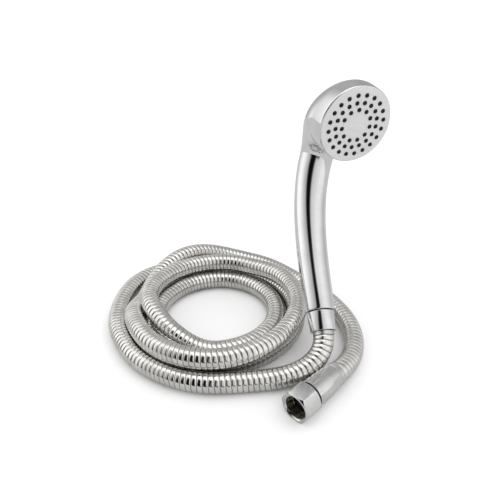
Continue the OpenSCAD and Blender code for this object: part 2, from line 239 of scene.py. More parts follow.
def hoseRoute():
    turns = np.arange(90, 1381, 15)
    radius = np.interp(turns, *zip(*coilRadius))
    lift = np.interp(turns, *zip(*coilLift))
    across = np.radians(-turns)
    coil = np.stack([
        hose["coilMiddle"][0] + radius * np.cos(across),
        hose["coilMiddle"][1] + radius * np.sin(across),
        hose["restHeight"] + lift,
    ], 1)
    start = inletPlace + inletAxis * hose["startAt"]
    return np.concatenate([[start], leadIn, coil, leadOut, [freeAxis * hose["endAt"]]])


def smoothPath(route, step=3.0):
    along = np.concatenate([[0], np.cumsum(np.linalg.norm(np.diff(route, axis=0), axis=1))])
    at = np.linspace(0, along[-1], int(along[-1] / step) + 1)
    # the end headings are held by a short straight lead at each end
    lead = 6.0
    x = np.concatenate([[-lead], along, [along[-1] + lead]])
    y = np.concatenate([[route[0] - inletAxis * lead], route, [route[-1] - freeAxis * lead]])
    return naturalSpline(x, y, at)


hosePath = smoothPath(hoseRoute()) * mm


def node(tree, kind, **values):
    made = tree.nodes.new(kind)
    for key, value in values.items():
        if key.startswith("in_"):
            made.inputs[int(key[3:])].default_value = value
        else:
            setattr(made, key, value)
    return made


def math2(tree, operation, a, b=None):
    made = node(tree, "ShaderNodeMath", operation=operation)
    for slot, value in enumerate((a, b)):
        if value is None:
            continue
        if isinstance(value, (int, float)):
            made.inputs[slot].default_value = value
        else:
            tree.links.new(value, made.inputs[slot])
    return made.outputs[0]


def vector2(tree, operation, a, b=None, scale=None):
    made = node(tree, "ShaderNodeVectorMath", operation=operation)
    tree.links.new(a, made.inputs[0])
    if b is not None:
        tree.links.new(b, made.inputs[1])
    if scale is not None:
        tree.links.new(scale, made.inputs["Scale"])
    return made.outputs[0]


mixFirst, mixSecond, mixResult = 6, 7, 2  # places of a Mix node's colour sockets


def addInputs(tree, sockets):
    for name, kind, value in sockets:
        socket = tree.interface.new_socket(name, in_out="INPUT", socket_type=kind)
        if value is not None:
            socket.default_value = value


def setInput(modifier, tree, name, value):
    for item in tree.interface.items_tree:
        if item.item_type == "SOCKET" and item.in_out == "INPUT" and item.name == name:
            modifier[item.identifier] = value
            return
    raise KeyError(name)


def bakedTree(name, source, tree, values, materials):
    # runs the tree on the source object and keeps only the plain mesh it makes
    modifier = source.modifiers.new("make", "NODES")
    modifier.node_group = tree
    for key, value in values.items():
        setInput(modifier, tree, key, value)
    bpy.context.view_layer.update()
    shown = source.evaluated_get(bpy.context.evaluated_depsgraph_get())
    mesh = bpy.data.meshes.new_from_object(shown)
    mesh.name = name
    source.modifiers.remove(modifier)
    bpy.data.objects.remove(source, do_unlink=True)
    piece = bpy.data.objects.new(name, mesh)
    bpy.context.collection.objects.link(piece)
    mesh.materials.clear()
    for material in materials:
        mesh.materials.append(material)
    return piece


# how a ring of the hose is cut: share of the pitch, and share of the groove's depth
ringCut = [
    (0.0, 1.0), (0.075, 0.34), (0.14, 0.06), (0.32, 0.0), (0.66, 0.0), (0.86, 0.06), (0.93, 0.34),
]


def hoseTree():
    tree = bpy.data.node_groups.new("windHose", "GeometryNodeTree")
    addInputs(tree, [
        ("Path", "NodeSocketGeometry", None),
        ("Radius", "NodeSocketFloat", 0.00875),
        ("Ring Pitch", "NodeSocketFloat", 0.00435),
        ("Groove Depth", "NodeSocketFloat", 0.001),
        ("Sides", "NodeSocketInt", 28),
        ("Material", "NodeSocketMaterial", None),
    ])
    tree.interface.new_socket("Hose", in_out="OUTPUT", socket_type="NodeSocketGeometry")
    given = node(tree, "NodeGroupInput")
    result = node(tree, "NodeGroupOutput")
    link = tree.links.new
    cuts = len(ringCut)

    length = node(tree, "GeometryNodeCurveLength")
    link(given.outputs["Path"], length.inputs[0])
    rings = math2(tree, "CEIL", math2(tree, "DIVIDE", length.outputs[0], given.outputs["Ring Pitch"]))
    rows = math2(tree, "MULTIPLY", math2(tree, "ADD", rings, 1.0), float(cuts))

    columns = math2(tree, "ADD", given.outputs["Sides"], 1.0)
    grid = node(tree, "GeometryNodeMeshGrid", in_0=1.0, in_1=1.0)
    link(rows, grid.inputs["Vertices X"])
    link(columns, grid.inputs["Vertices Y"])

    index = node(tree, "GeometryNodeInputIndex").outputs[0]
    row = math2(tree, "FLOOR", math2(tree, "DIVIDE", math2(tree, "ADD", index, 0.5), columns))
    column = math2(tree, "SUBTRACT", index, math2(tree, "MULTIPLY", row, columns))
    ring = math2(tree, "FLOOR", math2(tree, "DIVIDE", math2(tree, "ADD", row, 0.5), float(cuts)))
    cut = math2(tree, "SUBTRACT", row, math2(tree, "MULTIPLY", ring, float(cuts)))

    def chosen(values):
        switch = node(tree, "GeometryNodeIndexSwitch", data_type="FLOAT")
        while len(switch.index_switch_items) < len(values):
            switch.index_switch_items.new()
        link(cut, switch.inputs["Index"])
        for i, value in enumerate(values):
            switch.inputs[i + 1].default_value = value
        return switch.outputs[0]

    share = chosen([c[0] for c in ringCut])
    depth = chosen([c[1] for c in ringCut])
    around = math2(tree, "DIVIDE", column, given.outputs["Sides"])
    turned = math2(tree, "ADD", math2(tree, "ADD", ring, share), math2(tree, "SUBTRACT", around, 1.0))
    wound = math2(tree, "MULTIPLY", turned, given.outputs["Ring Pitch"])
    along = math2(tree, "MINIMUM", math2(tree, "MAXIMUM", wound, 0.0), length.outputs[0])
    inside = math2(tree, "MULTIPLY", math2(tree, "LESS_THAN", math2(tree, "ABSOLUTE",
                   math2(tree, "SUBTRACT", along, wound)), 1e-7), depth)

    sample = node(tree, "GeometryNodeSampleCurve", mode="LENGTH")
    link(given.outputs["Path"], sample.inputs["Curves"])
    link(along, sample.inputs["Length"])
    cross = node(tree, "ShaderNodeVectorMath", operation="CROSS_PRODUCT")
    link(sample.outputs["Tangent"], cross.inputs[0])
    link(sample.outputs["Normal"], cross.inputs[1])
    angle = math2(tree, "MULTIPLY", around, 2 * math.pi)
    radius = math2(tree, "SUBTRACT", given.outputs["Radius"],
                   math2(tree, "MULTIPLY", inside, given.outputs["Groove Depth"]))
    side = vector2(tree, "SCALE", sample.outputs["Normal"],
                   scale=math2(tree, "MULTIPLY", radius, math2(tree, "COSINE", angle)))
    up = vector2(tree, "SCALE", cross.outputs[0],
                 scale=math2(tree, "MULTIPLY", radius, math2(tree, "SINE", angle)))
    place = vector2(tree, "ADD", vector2(tree, "ADD", side, up), sample.outputs["Position"])

    # the groove depth is kept as the mask for the painted groove shade
    groove = node(tree, "GeometryNodeStoreNamedAttribute", data_type="FLOAT", domain="POINT")
    groove.inputs["Name"].default_value = "groove"
    link(grid.outputs["Mesh"], groove.inputs["Geometry"])
    link(inside, groove.inputs["Value"])
    shift = node(tree, "GeometryNodeSetPosition")
    link(groove.outputs[0], shift.inputs["Geometry"])
    link(place, shift.inputs["Position"])
    merge = node(tree, "GeometryNodeMergeByDistance")
    link(shift.outputs[0], merge.inputs["Geometry"])
    merge.inputs["Distance"].default_value = 2e-6
    outward = node(tree, "GeometryNodeFlipFaces")
    link(merge.outputs[0], outward.inputs[0])
    smooth = node(tree, "GeometryNodeSetShadeSmooth")
    link(outward.outputs[0], smooth.inputs[0])
    coat = node(tree, "GeometryNodeSetMaterial")
    link(smooth.outputs[0], coat.inputs["Geometry"])
    link(given.outputs["Material"], coat.inputs["Material"])
    link(coat.outputs[0], result.inputs[0])
    return tree


def shaderGroup(name, inputs, outputs):
    group = bpy.data.node_groups.new(name, "ShaderNodeTree")
    for label, kind, value in inputs:
        socket = group.interface.new_socket(label, in_out="INPUT", socket_type=kind)
        if value is not None:
            socket.default_value = value
    for label, kind in outputs:
        group.interface.new_socket(label, in_out="OUTPUT", socket_type=kind)
    return group, node(group, "NodeGroupInput"), node(group, "NodeGroupOutput")


def handledGroup():
    # faint wipe marks and haze on a polished finish: a shade for the colour, a roughness and a height
    group, given, result = shaderGroup("handledFinish", [
        ("Vector", "NodeSocketVector", None),
        ("Patch Size", "NodeSocketFloat", 60.0),
        ("Roughness Low", "NodeSocketFloat", 0.03),
        ("Roughness High", "NodeSocketFloat", 0.1),
        ("Dark", "NodeSocketColor", (0.7, 0.7, 0.72, 1)),
        ("Bright", "NodeSocketColor", (0.86, 0.86, 0.87, 1)),
    ], [("Color", "NodeSocketColor"), ("Roughness", "NodeSocketFloat"), ("Height", "NodeSocketFloat")])
    link = group.links.new
    haze = node(group, "ShaderNodeTexNoise")
    haze.inputs["Detail"].default_value = 4.0
    link(given.outputs["Vector"], haze.inputs["Vector"])
    link(given.outputs["Patch Size"], haze.inputs["Scale"])
    stretch = node(group, "ShaderNodeVectorMath", operation="MULTIPLY")
    stretch.inputs[1].default_value = (900, 900, 140)
    link(given.outputs["Vector"], stretch.inputs[0])
    wipe = node(group, "ShaderNodeTexNoise")
    wipe.inputs["Scale"].default_value = 1.0
    wipe.inputs["Detail"].default_value = 3.0
    link(stretch.outputs[0], wipe.inputs["Vector"])
    both = math2(group, "ADD", math2(group, "MULTIPLY", haze.outputs["Fac"], 0.7),
                 math2(group, "MULTIPLY", wipe.outputs["Fac"], 0.3))
    ease = node(group, "ShaderNodeMapRange", interpolation_type="SMOOTHSTEP")
    ease.inputs["From Min"].default_value = 0.35
    ease.inputs["From Max"].default_value = 0.65
    link(both, ease.inputs["Value"])
    rough = node(group, "ShaderNodeMapRange")
    link(ease.outputs[0], rough.inputs["Value"])
    link(given.outputs["Roughness Low"], rough.inputs["To Min"])
    link(given.outputs["Roughness High"], rough.inputs["To Max"])
    mix = node(group, "ShaderNodeMix", data_type="RGBA")
    link(ease.outputs[0], mix.inputs["Factor"])
    link(given.outputs["Bright"], mix.inputs[mixFirst])
    link(given.outputs["Dark"], mix.inputs[mixSecond])
    link(mix.outputs[mixResult], result.inputs["Color"])
    link(rough.outputs[0], result.inputs["Roughness"])
    link(both, result.inputs["Height"])
    return group


def grainGroup():
    # fine mottled grain for moulded and rubber finishes
    group, given, result = shaderGroup("fineGrain", [
        ("Vector", "NodeSocketVector", None),
        ("Grain Size", "NodeSocketFloat", 1500.0),
        ("Dark", "NodeSocketColor", (0.1, 0.1, 0.1, 1)),
        ("Bright", "NodeSocketColor", (0.2, 0.2, 0.2, 1)),
        ("Roughness Low", "NodeSocketFloat", 0.4),
        ("Roughness High", "NodeSocketFloat", 0.6),
    ], [("Color", "NodeSocketColor"), ("Roughness", "NodeSocketFloat"), ("Height", "NodeSocketFloat")])
    link = group.links.new
    grain = node(group, "ShaderNodeTexNoise")
    grain.inputs["Detail"].default_value = 3.0
    link(given.outputs["Vector"], grain.inputs["Vector"])
    link(given.outputs["Grain Size"], grain.inputs["Scale"])
    patch = node(group, "ShaderNodeTexNoise")
    patch.inputs["Scale"].default_value = 70.0
    patch.inputs["Detail"].default_value = 2.0
    link(given.outputs["Vector"], patch.inputs["Vector"])
    blend = math2(group, "ADD", math2(group, "MULTIPLY", grain.outputs["Fac"], 0.4),
                  math2(group, "MULTIPLY", patch.outputs["Fac"], 0.6))
    ease = node(group, "ShaderNodeMapRange")
    ease.inputs["From Min"].default_value = 0.35
    ease.inputs["From Max"].default_value = 0.65
    link(blend, ease.inputs["Value"])
    mix = node(group, "ShaderNodeMix", data_type="RGBA")
    link(ease.outputs[0], mix.inputs["Factor"])
    link(given.outputs["Dark"], mix.inputs[mixFirst])
    link(given.outputs["Bright"], mix.inputs[mixSecond])
    rough = node(group, "ShaderNodeMapRange")
    link(ease.outputs[0], rough.inputs["Value"])
    link(given.outputs["Roughness Low"], rough.inputs["To Min"])
    link(given.outputs["Roughness High"], rough.inputs["To Max"])
    link(mix.outputs[mixResult], result.inputs["Color"])
    link(rough.outputs[0], result.inputs["Roughness"])
    link(grain.outputs["Fac"], result.inputs["Height"])
    return group


handled = handledGroup()
fineGrain = grainGroup()


def startFinish(name):
    material = bpy.data.materials.new(name)
    material.use_nodes = True
    tree = material.node_tree
    shader = tree.nodes["Principled BSDF"]
    coords = node(tree, "ShaderNodeTexCoord")
    return material, tree, shader, coords.outputs["Object"]


def useGroup(tree, group, coords, values):
    made = node(tree, "ShaderNodeGroup", node_tree=group)
    tree.links.new(coords, made.inputs["Vector"])
    for key, value in values.items():
        made.inputs[key].default_value = value
    return made


def addBump(tree, shader, height, strength, distance):
    bump = node(tree, "ShaderNodeBump")
    bump.inputs["Strength"].default_value = strength
    bump.inputs["Distance"].default_value = distance
    tree.links.new(height, bump.inputs["Height"])
    tree.links.new(bump.outputs[0], shader.inputs["Normal"])


def platedFinish(name, dark, bright, low, high, bump=0.00002):
    material, tree, shader, coords = startFinish(name)
    shader.inputs["Metallic"].default_value = 1.0
    finish = useGroup(tree, handled, coords, {
        "Patch Size": 60.0, "Roughness Low": low, "Roughness High": high,
        "Dark": (*dark, 1), "Bright": (*bright, 1),
    })
    tree.links.new(finish.outputs["Color"], shader.inputs["Base Color"])
    tree.links.new(finish.outputs["Roughness"], shader.inputs["Roughness"])
    addBump(tree, shader, finish.outputs["Height"], 0.3, bump)
    return material


def mouldedFinish(name, dark, bright, low, high, grain=1500.0, bump=0.00003, specular=0.5):
    material, tree, shader, coords = startFinish(name)
    shader.inputs["Specular IOR Level"].default_value = specular
    finish = useGroup(tree, fineGrain, coords, {
        "Grain Size": grain, "Roughness Low": low, "Roughness High": high,
        "Dark": (*dark, 1), "Bright": (*bright, 1),
    })
    tree.links.new(finish.outputs["Color"], shader.inputs["Base Color"])
    tree.links.new(finish.outputs["Roughness"], shader.inputs["Roughness"])
    addBump(tree, shader, finish.outputs["Height"], 0.35, bump)
    return material


def hoseFinish():
    # bright strip, with painted shade taking it near black down in the grooves between its turns, and
    # duller there
    material, tree, shader, coords = startFinish("hoseStrip")
    shader.inputs["Metallic"].default_value = 1.0
    finish = useGroup(tree, handled, coords, {
        "Patch Size": 90.0, "Roughness Low": 0.07, "Roughness High": 0.15,
        "Dark": (0.76, 0.745, 0.715, 1), "Bright": (0.93, 0.915, 0.885, 1),
    })
    depth = node(tree, "ShaderNodeAttribute", attribute_name="groove")
    ease = node(tree, "ShaderNodeMapRange", interpolation_type="SMOOTHSTEP")
    ease.inputs["From Min"].default_value = 0.25
    ease.inputs["From Max"].default_value = 0.95
    tree.links.new(depth.outputs["Fac"], ease.inputs["Value"])
    mix = node(tree, "ShaderNodeMix", data_type="RGBA")
    tree.links.new(ease.outputs[0], mix.inputs["Factor"])
    tree.links.new(finish.outputs["Color"], mix.inputs[mixFirst])
    # near-black painted shade for the grooves between the strip's turns
    mix.inputs[mixSecond].default_value = (0.09, 0.09, 0.088, 1)
    tree.links.new(mix.outputs[mixResult], shader.inputs["Base Color"])
    duller = math2(tree, "MULTIPLY", ease.outputs[0], 0.25)
    rough = math2(tree, "ADD", finish.outputs["Roughness"], duller)
    tree.links.new(rough, shader.inputs["Roughness"])
    addBump(tree, shader, finish.outputs["Height"], 0.3, 0.00003)
    return material


shellChrome = platedFinish("shellChrome", (0.8, 0.8, 0.81), (0.87, 0.87, 0.88), 0.03, 0.07, 0.000006)
ferruleChrome = platedFinish("ferruleChrome", (0.76, 0.76, 0.77), (0.86, 0.86, 0.87), 0.05, 0.11)
collarChrome = platedFinish("collarChrome", (0.7, 0.7, 0.71), (0.85, 0.85, 0.86), 0.08, 0.16)
satinChrome = platedFinish("satinChrome", (0.72, 0.72, 0.71), (0.86, 0.86, 0.85), 0.06, 0.15, 0.00003)
# the thread's brass colour, darkened well below bare brass as painted shade for the inside of the nut bores
threadBrassBoreShade = platedFinish("brassThreadPaintedBoreShade", (0.2, 0.175, 0.14), (0.42, 0.38, 0.31), 0.22, 0.4)
# near-black painted shade, put on faces seen down narrow gaps and bores where shade falls
gapShadePaint = platedFinish("paintedGapShade", (0.02, 0.02, 0.02), (0.06, 0.06, 0.06), 0.3, 0.5)
bareBrass = platedFinish("machinedBrass", (0.6, 0.43, 0.18), (0.78, 0.6, 0.3), 0.18, 0.32)
screwSteel = platedFinish("screwSteel", (0.5, 0.5, 0.52), (0.72, 0.72, 0.74), 0.2, 0.35)
faceGrey = mouldedFinish(
    "faceGrey", (0.57, 0.57, 0.58), (0.62, 0.62, 0.63), 0.32, 0.45, 2600.0, 0.00001)
nozzleRubber = mouldedFinish(
    "nozzleRubber", (0.006, 0.006, 0.006), (0.014, 0.014, 0.014), 0.45, 0.62, specular=0.3)
sealRubber = mouldedFinish("sealRubber", (0.012, 0.012, 0.012), (0.03, 0.03, 0.03), 0.5, 0.7)
innerPlastic = mouldedFinish("innerPlastic", (0.42, 0.43, 0.45), (0.52, 0.53, 0.55), 0.35, 0.5)
tubePlastic = mouldedFinish("tubePlastic", (0.68, 0.69, 0.71), (0.78, 0.79, 0.81), 0.3, 0.45)
limiterPlastic = mouldedFinish("limiterPlastic", (0.05, 0.2, 0.1), (0.09, 0.28, 0.15), 0.35, 0.5)
hoseStrip = hoseFinish()
print("finishes made")


def makeHose():
    line = bpy.data.curves.new("hosePath", "CURVE")
    line.dimensions = "3D"
    spline = line.splines.new("POLY")
    spline.points.add(len(hosePath) - 1)
    spline.points.foreach_set("co", np.concatenate([hosePath, np.ones((len(hosePath), 1))], 1).ravel())
    source = bpy.data.objects.new("hosePath", line)
    bpy.context.collection.objects.link(source)
    return bakedTree("hoseWinding", source, hoseTree(), {
        "Radius": hose["width"] / 2 * mm,
        "Ring Pitch": hose["ringPitch"] * mm,
        "Groove Depth": hose["grooveDepth"] * mm,
        "Sides": hose["sides"],
        "Material": hoseStrip,
    }, [hoseStrip])


hoseWinding = makeHose()
print("hose wound:", len(hoseWinding.data.polygons), "faces")


ends = {
    "threadRadius": 10.48,
    "threadCrest": 9.35,
    "threadPitch": 1.814,
    "wallEnd": 9.9,
    "floor": 13.9,
    "nutEnd": 17.5,
    "nutShownEnd": 16.9,  # a real chamfered nut leaves a groove before the sleeve
    "sleeveShownStart": 18.6,
    "stem": 7.25,
    "hexHalf": 12.0,
    "sleeveEnd": 47.5,
    "threadStep": 0.15,
}
outerMark, threadMark = 13.0, 0.0  # stand-in radii that shape() puts the true ones in place of


def threadWave(angles, along):
    # from 0 at the root to 1 at the crest
    phase = 2 * math.pi * along / ends["threadPitch"] - angles
    return np.clip(0.5 + 0.72 * np.cos(phase), 0, 1)


def femaleRadius(angles, s, mouth, mouthRadius):
    wall = ends["threadRadius"] - (ends["threadRadius"] - ends["threadCrest"]) * threadWave(angles, s)
    fade = np.clip((ends["wallEnd"] - 0.6 - s) / 0.8, 0, 1)
    wall = ends["threadRadius"] * (1 - fade) + wall * fade
    cone = mouthRadius - (s - mouth) * 1.15
    return np.maximum(wall, cone)


supplyNut = {
    "mouth": -0.8,
    "mouthRadius": 10.95,
    "boreMouthRadius": 10.75,
    "frontChamfer": 11.62,
    "backRadius": 11.2,
    "backChamfer": 11.1,
}


def makeSupplyNut():
    half = ends["hexHalf"]
    mouth, back = supplyNut["mouth"], ends["nutShownEnd"]
    outer = [(mouth, supplyNut["mouthRadius"])] + [(s, outerMark) for s in np.concatenate([
        np.linspace(mouth + 0.02, mouth + 3.2, 17), np.linspace(3.0, back - 2.6, 6),
        np.linspace(back - 2.2, back - 0.02, 12)])]
    relief = ends["threadRadius"] + 0.2
    hole = [(back, supplyNut["backRadius"]), (back, ends["stem"]), (ends["floor"], ends["stem"]),
            (ends["floor"], relief), (ends["wallEnd"], relief)]
    steps = np.arange(ends["wallEnd"] - 0.001, mouth + 0.01, -ends["threadStep"])
    thread = [(s, threadMark) for s in steps]

    def shape(angles, s, r):
        if r == outerMark:
            body = hexRadius(angles, half)
            front = supplyNut["frontChamfer"] + (s - mouth) * 1.55
            rear = supplyNut["backChamfer"] + (back - s) * 1.25
            body = softMin(body, np.full_like(body, front), 0.22)
            return softMin(body, np.full_like(body, rear), 0.22)
        if r == threadMark:
            return femaleRadius(angles, s, mouth, supplyNut["boreMouthRadius"])
        return np.full_like(angles, r)

    return lathe("supplyNutBody", outer + hole + thread, onFreeEnd, 144, shape, sharp=38)


sleeve = {
    "flatStart": 12.0,
    "flatEnd": 9.62,
    "roundStart": 12.6,
    "roundEnd": 10.25,
    "lipRadius": 11.2,
    "tailRadius": 9.1,
    "tailLength": 3.6,
    "waist": 9.2,
}


def makeSupplySleeve():
    start, end = ends["sleeveShownStart"], ends["sleeveEnd"]
    length = end - start
    steps = np.concatenate([np.linspace(0, 1.6, 9), np.linspace(2.2, length - 4.2, 12),
                            np.linspace(length - 3.8, length, 16)])
    outer = [(start, 10.4)] + [(start + s, outerMark) for s in steps]
    hole = [(end, ends["stem"]), (start, ends["stem"])]

    def shape(angles, s, r):
        if r != outerMark:
            return np.full_like(angles, r)
        t = (s - start) / length
        flat = sleeve["flatStart"] + (sleeve["flatEnd"] - sleeve["flatStart"]) * t ** 1.15
        flats = hexRadius(angles, flat, 0.22)
        girth = sleeve["roundStart"] + (sleeve["roundEnd"] - sleeve["roundStart"]) * t ** 1.1
        rounded = np.full_like(angles, girth)
        lip = np.full_like(angles, sleeve["lipRadius"] + (s - start) * 1.6)
        left = max(end - s, 0.0)
        bow = math.sqrt(max(0.0, 1 - (1 - min(left / sleeve["tailLength"], 1.0)) ** 2))
        tail = np.full_like(angles, sleeve["tailRadius"] + bow * 1.9)
        body = softMin(flats, rounded, 0.25)
        body = softMin(body, lip, 0.25)
        return softMin(body, tail, 0.4)

    return lathe("supplySleeveBody", outer + hole, onFreeEnd, 120, shape, sharp=40)


def makeSupplyGroove():
    # the waist seen between the nut and the sleeve, all of it in near-black painted shade
    near, far = ends["nutEnd"] + 0.02, ends["sleeveShownStart"] + 0.05
    waist, inner = sleeve["waist"], ends["stem"] + 0.05
    loop = filleted([(near, waist, 0.2), (far, waist, 0), (far, inner, 0), (near, inner, 0)])
    return lathe("supplyGroove", loop, onFreeEnd, 72)


collar = {
    "grooveRadius": 8.45,
    "gap": 0.45,
    "depth": 0.7,
    "handsetStart": 17.95,
    "handsetRings": [(1.25, 0.75), (1.3, 0.6)],  # width and height of each
    "supplyRings": [(1.6, 1.5), (1.45, 1.1), (1.5, 0.95)],
}


def collarRings(name, place, start, widths):
    # a few rolled rings side by side
    corners = []
    radius, gap = collar["grooveRadius"], collar["gap"]
    s = start
    for width, height in widths:
        crown = radius + height
        corners += [(s, radius, 0.12), (s + 0.1, crown, 0.3), (s + width - 0.1, crown, 0.3),
                    (s + width, radius, 0.12)]
        s += width + gap
    inner = radius - collar["depth"]
    back = [np.array((s - gap, inner)), np.array((start, inner))]
    loop = filleted(corners, 3) + back
    return lathe(name, loop, place, 72)


handsetNut = {
    "mouth": 0.9,
    "topWidth": 23.6,
    "lowWidth": 21.6,
}


def makeHandsetNut():
    # slightly tapered, with the same thread inside as the free nut
    top, low = handsetNut["topWidth"] / 2, handsetNut["lowWidth"] / 2
    a, b = handsetNut["mouth"], ends["nutEnd"]
    outer = filleted([(a, 10.9, 0), (a, top, 0.45), (b, low, 0.5), (b, 9.0, 0)], 4)
    hole = [np.array((b, ends["stem"])), np.array((ends["floor"], ends["stem"])),
            np.array((ends["floor"], ends["threadRadius"] + 0.05))]
    steps = np.arange(ends["wallEnd"] - 0.001, a - 0.001, -ends["threadStep"])
    thread = [(s, threadMark) for s in steps]

    def shape(angles, s, r):
        if r == threadMark:
            return femaleRadius(angles, s, a, 11.2)
        return np.full_like(angles, r)

    return lathe("handsetNutBody", outer + hole + thread, onInlet, 120, shape)


spigot = {
    "back": -22.0,  # up inside the handle
    "tubeSeat": -9.0,
    "end": 10.2,
    "radius": 9.98,
    "seatRadius": 8.2,
    "bore": 6.0,
}


def makeInletSpigot():
    rOut, rRoot = ends["threadRadius"], ends["threadCrest"] + 0.05
    back, seat, end = spigot["back"], spigot["tubeSeat"], spigot["end"]
    thread = [(s, threadMark) for s in np.arange(0.9, 10.05, ends["threadStep"])]
    body = [(back, spigot["radius"]), (0.0, spigot["radius"]), (0.02, rRoot - 0.2), (0.85, rRoot - 0.2)]
    hole = [(end, 9.1), (end, spigot["bore"]), (seat, spigot["bore"]),
            (seat, spigot["seatRadius"]), (back, spigot["seatRadius"])]
    loop = body + thread + hole

    def shape(angles, s, r):
        if r != threadMark:
            return np.full_like(angles, r)
        wave = threadWave(angles, s)
        fadeEnds = np.clip(min((s - 0.7) / 1.2, (10.25 - s) / 1.0), 0, 1)
        return rRoot + (rOut - rRoot) * wave * fadeEnds

    return lathe("inletSpigotBody", loop, onInlet, 96, shape)


def dress(piece, body, slot, *materials, replaces=()):
    piece.data.materials.clear()
    for material in materials:
        piece.data.materials.append(material)
    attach(piece, body)
    if replaces:
        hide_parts(*replaces)
    return piece


def paintBore(piece, place, radiusLimit, depthRange, slot=1):
    # gives the faces near the axis, between two depths, the second material
    back = np.linalg.inv(np.array(place))
    for face in piece.data.polygons:
        p = np.array(face.center) / mm
        q = back[:3, :3] @ p + back[:3, 3]
        if math.hypot(q[0], q[1]) < radiusLimit and depthRange[0] < q[2] < depthRange[1]:
            face.material_index = slot


supplyNutBody = makeSupplyNut()
supplySleeveBody = makeSupplySleeve()
supplyRings = collarRings(
    "supplyRings", onFreeEnd, ends["sleeveEnd"] - 0.1, collar["supplyRings"])
supplyGroove = makeSupplyGroove()
handsetNutBody = makeHandsetNut()
handsetRing = collarRings(
    "handsetRing", onInlet, collar["handsetStart"], collar["handsetRings"])
inletSpigotBody = makeInletSpigot()

dress(hoseWinding, "hose", "hose_steel", hoseStrip, replaces=["hose_cover"])
dress(supplyNutBody, "supply_nut", "satin_chrome", satinChrome, threadBrassBoreShade, replaces=["supply_nut"])
# the threaded bore past the mouth gets the brass colour darkened as painted shade inside the nut
paintBore(supplyNutBody, onFreeEnd, 10.9, (0.45, 14.2))
dress(supplySleeveBody, "hose", "satin_chrome", satinChrome, replaces=["supply_sleeve"])
dress(supplyRings, "hose", "collar_chrome", collarChrome, gapShadePaint, replaces=["supply_collar"])
# the bore faces of the collar rings are painted near black as shade down the bore
paintBore(supplyRings, onFreeEnd, 8.75, (40, 60))
# the waist between nut and sleeve is painted near black as the shade of the gap
dress(supplyGroove, "hose", "collar_chrome", gapShadePaint)
dress(
    handsetNutBody, "handset_nut", "ferrule_chrome", ferruleChrome, threadBrassBoreShade,
    replaces=["handset_nut"])
# the threaded bore gets the brass colour darkened as painted shade inside the nut
paintBore(handsetNutBody, onInlet, 10.9, (1.6, 14.2))
dress(handsetRing, "hose", "collar_chrome", collarChrome, gapShadePaint, replaces=["handset_collar"])
# the bore faces of the handset ring are painted near black as shade down the bore
paintBore(handsetRing, onInlet, 8.75, (15, 25))
dress(inletSpigotBody, "handset", "fitting_brass", bareBrass, gapShadePaint, replaces=["inlet_spigot"])
# the spigot's shoulder seen in the narrow gap under the handle is painted near black as the gap's shade,
# over its real brass
paintBore(inletSpigotBody, onInlet, 10.3, (-0.6, 0.95))
print("hose fittings made")


shell = {
    "lipRadius": 32.5,
    "lipWidth": 1.1,
    "handleTop": 15.3,
    "handleEnd": 12.7,
    "bore": 10.05,
    "around": 112,
    "rows": 230,
    "handleSections": 25,
}
axisCurve = np.array([(34.3, -43.7), (22.27, -88.93), (-30.17, -121.7), (-64.9, -144.6)])


def onAxis(t):
    a, b, c, d = axisCurve
    return (1 - t) ** 3 * a + 3 * (1 - t) ** 2 * t * b + 3 * (1 - t) * t * t * c + t ** 3 * d


def alongAxis(t):
    a, b, c, d = axisCurve
    v = (1 - t) ** 2 * (b - a) + 2 * (1 - t) * t * (c - b) + t * t * (d - c)
    return v / np.linalg.norm(v)


def shellSections():
    # each section is a pair of points in the middle plane, front then back, and a half width across it
    rows = []
    for t in np.linspace(1, 0, shell["handleSections"]):
        middle, way = onAxis(t), alongAxis(t)
        r = shell["handleTop"] + (shell["handleEnd"] - shell["handleTop"]) * t
        front = np.array((way[1], -way[0]))
        rows.append((*(middle + front * r), *(middle - front * r), r))
    rows += [
        (19.6, -35.4, 51.2, -33.2, 18.2),
        (18.8, -33.1, 50.2, -19.7, 22.4),
        (17.5, -32.6, 44.9, -2.2, 27.6),
        (16.3, -32.5, 35.7, 15.2, 31.2),
        (15.2, -32.45, 24.6, 27.2, 32.5),
        (14.5, -32.5, 14.5, 32.5, 32.65),
        (9.5, -32.75, 9.5, 32.75, 32.75),
        (5.5, -32.65, 5.5, 32.65, 32.65),
        (2.4, -32.5, 2.4, 32.5, 32.5),
    ]
    return np.array(rows)


